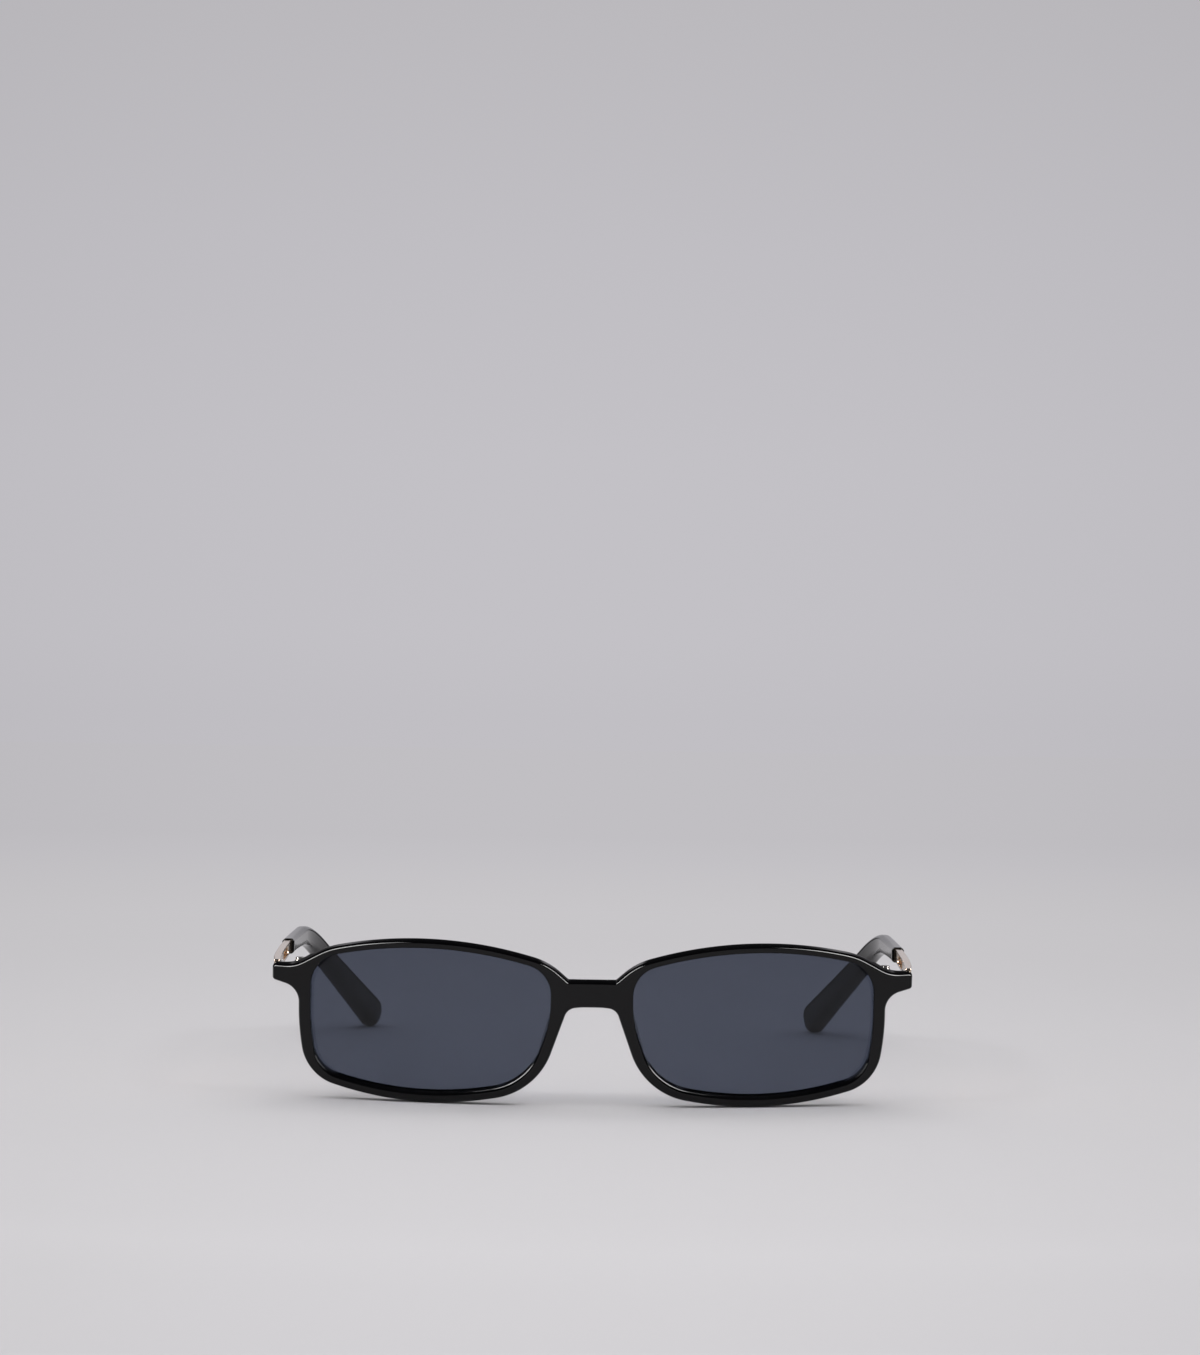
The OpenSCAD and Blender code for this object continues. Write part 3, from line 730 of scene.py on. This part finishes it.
top = bar_top + shift.z
foot, far_foot = top - bar_h, top - bar_end_h
bar_outline = rounded([
    (butt(top), top, bar_corner_r), (bar_l + bar_tongue, top, bar_corner_r),
    (bar_l + bar_tongue, far_foot, bar_corner_r), (bar_l, far_foot, bar_taper_r),
    (seat_l, foot, bar_taper_r), (butt(foot), foot, bar_corner_r),
])
window_z = top - (bar_end_h + bar_h) / 4 - window_down
window_end = bar_l - window_back
window = rounded([
    (s, window_z + up * window_h / 2, window_h / 2)
    for s, up in ((window_end - window_l, 1), (window_end, 1), (window_end, -1), (window_end - window_l, -1))
])
print(f"the window is {window_l} by {window_h} mm and ends {window_back} mm before the sleeve")


# %% Build the bars
def bar_point(s, z, back, depth):
    """Only the outer face is ground: most at the end piece, and nothing past the seat."""
    ground = 0 if back else bar_out * max(0, 1 - s / seat_l)
    across = axes(s)[1] * (bar_w / 2 - depth - ground)
    middle = at(s)
    return Vector((middle.x, middle.y, z)) + (across if back else -across)


bar_rolls = [even(bar_edge), even(bar_edge)]
bars = []
for name, side in SIDES.items():
    bar = plate(f"slotted_bar_{name}", bar_outline, [window], bar_point, bar_rolls, grid=0.8, side=side)
    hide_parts(f"temple_bar_{name}")
    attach(bar, f"temple_{name}")
    bars.append(bar)

# %% [markdown]
# ## The sleeves
# The sleeve is moulded over the end of the bar. Its mouth is a flat black face round the metal, and from
# there it grows taller and thicker through the bend and ends in a blunt round paddle. The first two rings
# make the pocket that holds the bar, the next ones roll over the edge of the mouth, and the others follow
# the line of the temple.

# %% Size the sleeves
sleeve_w, sleeve_h, sleeve_r, sleeve_shift = 2.95, 3.7, 0.9, 0.1
tip_w, tip_edge, tip_back, tip_shift = 5.2, 2.2, 0.45, 0.5
taller, thicker, tip_blunt, side_blunt = 1.4, 1.6, 2.4, 0.5
mouth_edge, pocket_l, pocket_room, pocket_r = 0.18, 1.5, 0.1, 0.3
mouth_up = (bar_h - bar_end_h) / 2
sleeve_end = temple_l - tip_back
print(f"sleeve from {sleeve_w} by {sleeve_h} mm at the mouth to {tip_w} by {tip_h} mm at the tip")


# %% Build the sleeves
def placed(s, shape, off):
    """A section set across the temple's line at distance s, moved inward and up by off."""
    _, inward, upward = axes(s)
    middle = at(s)
    return [middle + inward * (x + off[0]) + upward * (y + off[1]) for x, y in shape]


def sleeve_ring(s, inset=0.0):
    """The section at distance s, drawn in by inset where the mouth rolls over."""
    t = (s - bar_l) / (temple_l - bar_l)
    left = rounding(s, sleeve_end, tip_r, tip_blunt)
    w = (sleeve_w + (tip_w - sleeve_w) * t**thicker) * left**side_blunt - 2 * inset
    h = (sleeve_h + (tip_h - sleeve_h) * t**taller) * left - 2 * inset
    off = (sleeve_shift * (1 - t) + tip_shift * t, mouth_up * (1 - t))
    return placed(s, section(w, h, sleeve_r + (tip_edge - sleeve_r) * t), off)


pocket = section(bar_w + pocket_room, bar_end_h + pocket_room, pocket_r)
rings = [placed(bar_l + pocket_l, pocket, (0, mouth_up)), placed(bar_l, pocket, (0, mouth_up))]
rings += [
    sleeve_ring(bar_l + mouth_edge * (1 - math.cos(a)), mouth_edge * (1 - math.sin(a)))
    for a in ROLL
]
rings += [sleeve_ring(s) for s in stations(bar_l + mouth_edge, sleeve_end, tip_r, gap=1.0)[1:]]
sleeves = []
for name, side in SIDES.items():
    sleeve = skin(f"moulded_sleeve_{name}", rings, side)
    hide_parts(f"temple_sleeve_{name}")
    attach(sleeve, f"temple_{name}")
    sleeves.append(sleeve)

# %% [markdown]
# ## Hinges and core wires
# The hinge leaves are stamped, the knuckles and the screws are turned, and the core wires are drawn.
# Their CAD meshes have the right shapes, so they stay, and nothing is modelled twice. Such metal has no
# razor edges, though. Modifiers join the split points, merge the flat triangles and break the edges by a
# few hundredths of a millimetre, without a change to the mesh itself. The wires have no edges to break.

# %% Soften the hinge pieces
JOIN, FLAT, BREAK, CORNER = 0.001 * MM, math.radians(1), 0.06 * MM, math.radians(35)
metal_parts = [
    frame["nodes"][f"{part}_{name}"]
    for part in ("front_hinge", "temple_hinge", "hinge_screw", "core_wire")
    for name in SIDES
]
for part in metal_parts:
    weld = part.modifiers.new("join", "WELD")
    weld.merge_threshold = JOIN
    if "core_wire" in part.name:
        continue
    flats = part.modifiers.new("flats", "DECIMATE")
    flats.decimate_type = "DISSOLVE"
    flats.angle_limit = FLAT
    broken = part.modifiers.new("broken_edges", "BEVEL")
    broken.width = BREAK
    broken.segments = 2
    broken.limit_method = "ANGLE"
    broken.angle_limit = CORNER
    broken.harden_normals = True
    part.data.shade_smooth()
print(len(metal_parts), "metal pieces keep their CAD meshes")

# %% [markdown]
# ## Shader maths
# A material is a tree of nodes, and in Python every node and link takes a line of its own, which hides
# what a sum of two noises means. One small class wraps a socket, so that arithmetic on what it carries is
# written as an expression and adds its Math nodes by itself. A number on either side of the sign works
# too.


# %% Write shader maths as arithmetic
class Wire:
    """What one socket carries."""

    def __init__(self, finish, socket):
        self.finish, self.socket = finish, socket

    def __add__(self, other):
        return self.finish.math("ADD", self, other)

    def __sub__(self, other):
        return self.finish.math("SUBTRACT", self, other)

    def __rsub__(self, other):
        return self.finish.math("SUBTRACT", other, self)

    def __mul__(self, other):
        return self.finish.math("MULTIPLY", self, other)

    def __truediv__(self, other):
        return self.finish.math("DIVIDE", self, other)

    def __rtruediv__(self, other):
        return self.finish.math("DIVIDE", other, self)

    __radd__ = __add__
    __rmul__ = __mul__


# %% [markdown]
# ## One method for every node
# All other nodes come from one method. It sets a node's own settings first, such as the stops of a ramp,
# because some of them change which sockets there are, and then puts values or links into its sockets. The
# short methods below it only name what the materials use again and again.


# %% Make the nodes of a finish
class Finish:
    """A material, or the world, and the nodes in it."""

    def __init__(self, owner):
        owner.use_nodes = True
        self.owner, self.tree = owner, owner.node_tree
        self.tree.nodes.clear()

    def node(self, kind, settings=None, sockets=None, out=0):
        made = self.tree.nodes.new(kind)
        for key, value in (settings or {}).items():
            if key == "stops":
                ramp = made.color_ramp.elements
                while len(ramp) < len(value):
                    ramp.new(0.5)
                for stop, (position, color) in zip(ramp, value):
                    stop.position, stop.color = position, (*color, 1)
            else:
                setattr(made, key, value)
        for key, value in (sockets or {}).items():
            if isinstance(value, Wire):
                self.tree.links.new(value.socket, made.inputs[key])
            else:
                made.inputs[key].default_value = value
        return Wire(self, made.outputs[out]) if len(made.outputs) else None

    def math(self, operation, a, b):
        return self.node("ShaderNodeMath", {"operation": operation}, {0: a, 1: b})

    def part(self, vector, axis):
        return self.node("ShaderNodeSeparateXYZ", {}, {"Vector": vector}, axis)

    def ramp(self, wire, stops):
        return self.node("ShaderNodeValToRGB", {"stops": stops}, {"Fac": wire}, "Color")

    def step(self, wire, low, high, start=0.0, end=1.0):
        """A soft step from start to end while the wire goes from low to high."""
        ends = {"Value": wire, "From Min": low, "From Max": high, "To Min": start, "To Max": end}
        return self.node("ShaderNodeMapRange", {"interpolation_type": "SMOOTHSTEP"}, ends)

    def noise(self, per_metre, stretch=(1, 1, 1), detail=2.0):
        """Noise with so many blots in a metre, drawn out along an axis whose number is below 1."""
        spot = self.node("ShaderNodeTexCoord", out="Object")
        spot = self.node("ShaderNodeMapping", {"vector_type": "POINT"}, {"Vector": spot, "Scale": stretch})
        sockets = {"Vector": spot, "Scale": per_metre, "Detail": detail}
        return self.node("ShaderNodeTexNoise", {}, sockets, "Fac")

    def bump(self, height, strength, mm):
        sockets = {"Height": height, "Strength": strength, "Distance": mm * MM}
        return self.node("ShaderNodeBump", {}, sockets)

    def end(self, shader, kind="ShaderNodeOutputMaterial"):
        self.node(kind, {}, {"Surface": shader})
        print(f"{self.owner.name}: {len(self.tree.nodes)} nodes")
        return self.owner


def new_finish(name):
    return Finish(bpy.data.materials.new(name))


# %% [markdown]
# ## Polished black plastic
# The front, the pads and the sleeves are tumbled in a drum until they shine. A black with a low roughness
# would do from afar, but it looks like lacquered glass close by. Tumbling leaves the surface very
# slightly wavy, and handling leaves faint hazy patches, so a slow wave goes into the normal and two
# noises into the roughness. The colour is nearly nothing: all that shows is what the surface mirrors. Its
# index is below that of real plastic, which is near 1.5, and so keeps the mirror on the face as faint as
# in the photo.


# %% Mix the black plastic
def polished_plastic():
    finish = new_finish("polished_black_plastic")
    cloud = finish.noise(per_metre=90, detail=3)
    haze = finish.noise(per_metre=420, detail=4)
    waves = finish.noise(per_metre=160, detail=1)
    color = finish.ramp(cloud, [(0.3, (0.0016, 0.0016, 0.0019)), (0.7, (0.0026, 0.0026, 0.0030))])
    shader = finish.node("ShaderNodeBsdfPrincipled", {}, {
        "Base Color": color,
        "Roughness": 0.03 + cloud * 0.03 + haze * 0.03,
        "IOR": 1.33,
        "Normal": finish.bump(waves, strength=0.25, mm=0.06),
    })
    return finish.end(shader)


plastic = polished_plastic()

# %% [markdown]
# ## Tinted lens
# The lens is clear plastic with a cool grey dye. It could be faked with a transparent shader, which needs
# no refraction but loses the thickness. Here light is coloured on its way through, which is what
# transmission does, and the surface keeps a faint mirror of the room. Wiping leaves a little haze in
# streaks.


# %% Mix the lens
def tinted_lens():
    finish = new_finish("cool_grey_lens")
    wiped = finish.noise(per_metre=60, stretch=(1, 1, 3), detail=3)
    color = finish.ramp(wiped, [(0.2, (0.086, 0.100, 0.139)), (0.8, (0.090, 0.104, 0.144))])
    shader = finish.node("ShaderNodeBsdfPrincipled", {}, {
        "Base Color": color,
        "Roughness": wiped * 0.02,
        "IOR": 1.33,
        "Transmission Weight": 1.0,
    })
    return finish.end(shader)


lens_finish = tinted_lens()

# %% [markdown]
# ## Metals
# The bars are plated in a pale gold and buffed along their length, which leaves fine lines that way. The
# hinges are a bright metal, a little rougher, and their lines run upright. Both are one recipe: a noise
# that is stretched along the lines moves the roughness and the normal, and a wide one clouds the colour,
# as plating does. An anisotropic shader would draw out the highlights too, but it shows no lines close
# by.


# %% Mix the metals
def buffed_metal(name, dark, light, rough, stretch):
    finish = new_finish(name)
    lines = finish.noise(per_metre=2600, stretch=stretch, detail=3)
    patches = finish.noise(per_metre=120, detail=2)
    shader = finish.node("ShaderNodeBsdfPrincipled", {}, {
        "Base Color": finish.ramp(patches, [(0.3, dark), (0.7, light)]),
        "Metallic": 1.0,
        "Roughness": rough + lines * 0.08 + patches * 0.05,
        "Normal": finish.bump(lines, strength=0.2, mm=0.01),
    })
    return finish.end(shader)


gold = buffed_metal("pale_gold_plate", (0.80, 0.64, 0.50), (0.85, 0.69, 0.55), 0.07, (1, 0.03, 1))
steel = buffed_metal("bright_hinge_metal", (0.62, 0.60, 0.57), (0.72, 0.70, 0.67), 0.14, (1, 1, 0.2))

# %% [markdown]
# ## Finishes on the pieces
# A new piece takes its material in a first slot. A CAD piece already has slots, and only what they hold
# changes.

# %% Put the finishes on
for piece in [front, *pads, *sleeves]:
    piece.data.materials.append(plastic)
for piece in lenses:
    piece.data.materials.append(lens_finish)
for piece in bars:
    piece.data.materials.append(gold)
for part in metal_parts:
    for one in part.material_slots:
        one.material = steel
print("finishes:", sorted(m.name for m in bpy.data.materials if m.users))

# %% [markdown]
# ## The floor
# The glasses stand on seamless pale paper. It could be a real sweep that curves up behind them, but then its
# shade would come from the lamps, and more lamps would change the glasses too. So the paper is a flat floor
# with painted light. Near the glasses it is lit and holds their shadow, and further out it fades into a glow,
# painted light in place of lit paper. Its colour carries painted shade, which darkens slowly with distance
# and to both sides and meets the backdrop without a line.
# The studio is set out in metres.

# %% Mix the paper
PAPER_W = 12
near_tone, far_tone, round_start = -0.3, 1.2, 0.45
lit_to, glow_from = 0.14, 0.5
side_limit, side_share = 0.1, 0.8
view_back, view_least = 0.64, 0.2


def srgb(*levels):
    """Linear colour of a colour as a screen gives it, from 0 to 255."""
    return tuple(((v / 255 + 0.055) / 1.055) ** 2.4 for v in levels)


def sideways(finish, aside):
    """What is left of the light towards both sides."""
    return 1.0 - finish.math("MINIMUM", aside * aside, side_limit) * side_share


def floor_finish():
    finish = new_finish("pale_paper_painted_light")
    spot = finish.node("ShaderNodeTexCoord", out="Object")
    across, back = finish.part(spot, "X"), finish.part(spot, "Y")
    distance = finish.node("ShaderNodeVectorMath", {"operation": "LENGTH"}, {0: spot}, "Value")
    depth = finish.math("MAXIMUM", back, distance - round_start)
    ends = {"Value": depth, "From Min": near_tone, "From Max": far_tone}
    # Painted shade: the paper's colour darkens further back and further out, as the light falls off.
    painted_falloff = finish.ramp(finish.node("ShaderNodeMapRange", {}, ends), [
        (0.0, srgb(218, 216, 219)), (0.07, srgb(210, 208, 211)), (0.133, srgb(208, 206, 209)),
        (0.233, srgb(206, 204, 207)), (0.41, srgb(202, 200, 203)), (0.587, srgb(199, 197, 200)),
        (0.82, srgb(195, 193, 197)), (1.0, srgb(193, 191, 195)),
    ])
    # Painted shade: the colour darkens towards both sides.
    painted_side_shade = sideways(finish, across / finish.math("MAXIMUM", back + view_back, view_least))
    painted_falloff = finish.node("ShaderNodeVectorMath", {"operation": "SCALE"}, {0: painted_falloff, "Scale": painted_side_shade})
    paper = finish.node("ShaderNodeBsdfDiffuse", {}, {"Color": painted_falloff})
    # The glow is painted light: far from the glasses the paper shines by itself in the painted colour, with
    # no lamp.
    glow = finish.node("ShaderNodeEmission", {}, {"Color": painted_falloff, "Strength": 1.0})
    fade = finish.step(distance, lit_to, glow_from)
    return finish.end(finish.node("ShaderNodeMixShader", {}, {"Fac": fade, 1: paper, 2: glow}))


# %% Lay the floor
bpy.ops.mesh.primitive_plane_add(size=1, location=(0, 0, 0))
floor = bpy.context.object
floor.name = "paper_floor"
floor.data.transform(Matrix.Diagonal((PAPER_W, PAPER_W, 1, 1)))
floor.data.materials.append(floor_finish())
print("the paper is", PAPER_W, "m wide")

# %% [markdown]
# ## The room
# Polished black shows nothing but the room, so the room is what makes it look polished. An image of a
# studio would do, and a few steps in the direction of a ray do too. The camera sees a pale backdrop.
# Mirrored rays see the same backdrop, but only straight behind the glasses and up to a fair height, and a
# dim room above, beside and before it. That keeps the black deep between its light lines. All other rays
# get a plain even light.

# %% Light the room
AMBIENT = 0.5
backdrop_top, dark_from = 0.272, 0.29
dim_room = (0.008, 0.008, 0.009)
side_from, side_to, side_left = 0.02, 0.05, 0.1
back_from, back_to, front_left = -0.1, 0.15, 0.05


def room():
    finish = Finish(bpy.context.scene.world or bpy.data.worlds.new("room"))
    bpy.context.scene.world = finish.owner
    camera_ray, glossy_ray, clear_ray = (
        finish.node("ShaderNodeLightPath", out=name)
        for name in ("Is Camera Ray", "Is Glossy Ray", "Is Transmission Ray")
    )
    way = finish.node("ShaderNodeTexCoord", out="Generated")
    across, back, height = (finish.part(way, axis) for axis in "XYZ")
    sheet = finish.ramp(height, [
        (0.0, srgb(193, 191, 196)), (0.03, srgb(195, 193, 198)), (0.10, srgb(195, 193, 198)),
        (0.18, srgb(192, 190, 195)), (backdrop_top, srgb(187, 185, 189)),
        (dark_from, dim_room), (1.0, dim_room),
    ])
    seen = sideways(finish, across)
    beside = finish.step(across * across, side_from, side_to, 1.0, side_left)
    behind = finish.step(back, back_from, back_to, front_left)
    strength = seen + glossy_ray * (beside * behind - seen)
    shown = finish.node("ShaderNodeBackground", {}, {"Color": sheet, "Strength": strength})
    ambient = finish.node("ShaderNodeBackground", {}, {"Color": (1, 1, 1, 1), "Strength": AMBIENT})
    sees = camera_ray + glossy_ray + clear_ray
    mixed = finish.node("ShaderNodeMixShader", {}, {"Fac": sees, 1: ambient, 2: shown})
    finish.end(mixed, "ShaderNodeOutputWorld")


room()

# %% [markdown]
# ## The lamps
# One large soft lamp overhead gives the plain light and the soft shadow under the rims. It doesn't show
# in reflections, because it would lay a grey film over the black. Two pairs of lamps at the sides stand
# in for the bright strips of a studio. The small pair sets small sharp glints. The large pair draws the
# thin lines along the shoulders and the lower corners of the lens openings, and it leaves the paper
# alone.


# %% Place the lamps
def soft_light(name, size, place, aim, watts):
    lamp = bpy.data.lights.new(name, "AREA")
    lamp.shape, lamp.energy = "RECTANGLE", watts
    lamp.size, lamp.size_y = size
    made = bpy.data.objects.new(name, lamp)
    made.location = place
    made.rotation_euler = (Vector(aim) - Vector(place)).to_track_quat("-Z", "Y").to_euler()
    bpy.context.scene.collection.objects.link(made)
    print(f"{name}: {watts} W")
    return made


overhead = soft_light("overhead_softbox", (3.0, 2.4), place=(0.0, -0.1, 1.6), aim=(0, 0, 0), watts=20.5)
overhead.visible_glossy = False
for name, side in SIDES.items():
    soft_light(f"{name}_glint", (0.16, 0.16), place=(side * 0.9, -0.5, 0.9), aim=(0, 0, 0.03), watts=1.4)
    shine = soft_light(
        f"{name}_shine", (0.45, 0.8), place=(side * 0.68, -0.25, 0.62), aim=(0, -0.07, 0.02), watts=29
    )
    shine.visible_diffuse = False

# %% [markdown]
# ## The camera
# It looks at the front from about 56 cm away and a little above, nearly level, with the glasses low in
# the frame. The focal length was measured in the photograph's own pixels. Its taller side takes the full
# width of the sensor, which turns pixels into millimetres.

# %% Set the camera
focal_px, photo_h, sensor_mm, nearest = 2590, 1355, 36, 0.01
camera_place = (0.0007, -0.6378, 0.0852)
raised_deg, rolled_deg = 90.878, 0.85

camera_data = bpy.data.cameras.new("camera")
camera_data.lens = focal_px * sensor_mm / photo_h
camera_data.sensor_width = sensor_mm
camera_data.clip_start = nearest
camera = bpy.data.objects.new("camera", camera_data)
camera.matrix_world = (
    Matrix.Translation(camera_place)
    @ Matrix.Rotation(math.radians(raised_deg), 4, "X")
    @ Matrix.Rotation(math.radians(rolled_deg), 4, "Z")
)
bpy.context.scene.collection.objects.link(camera)
bpy.context.scene.camera = camera
bpy.context.scene.view_settings.view_transform = "Standard"
print(f"lens {camera_data.lens:.1f} mm")
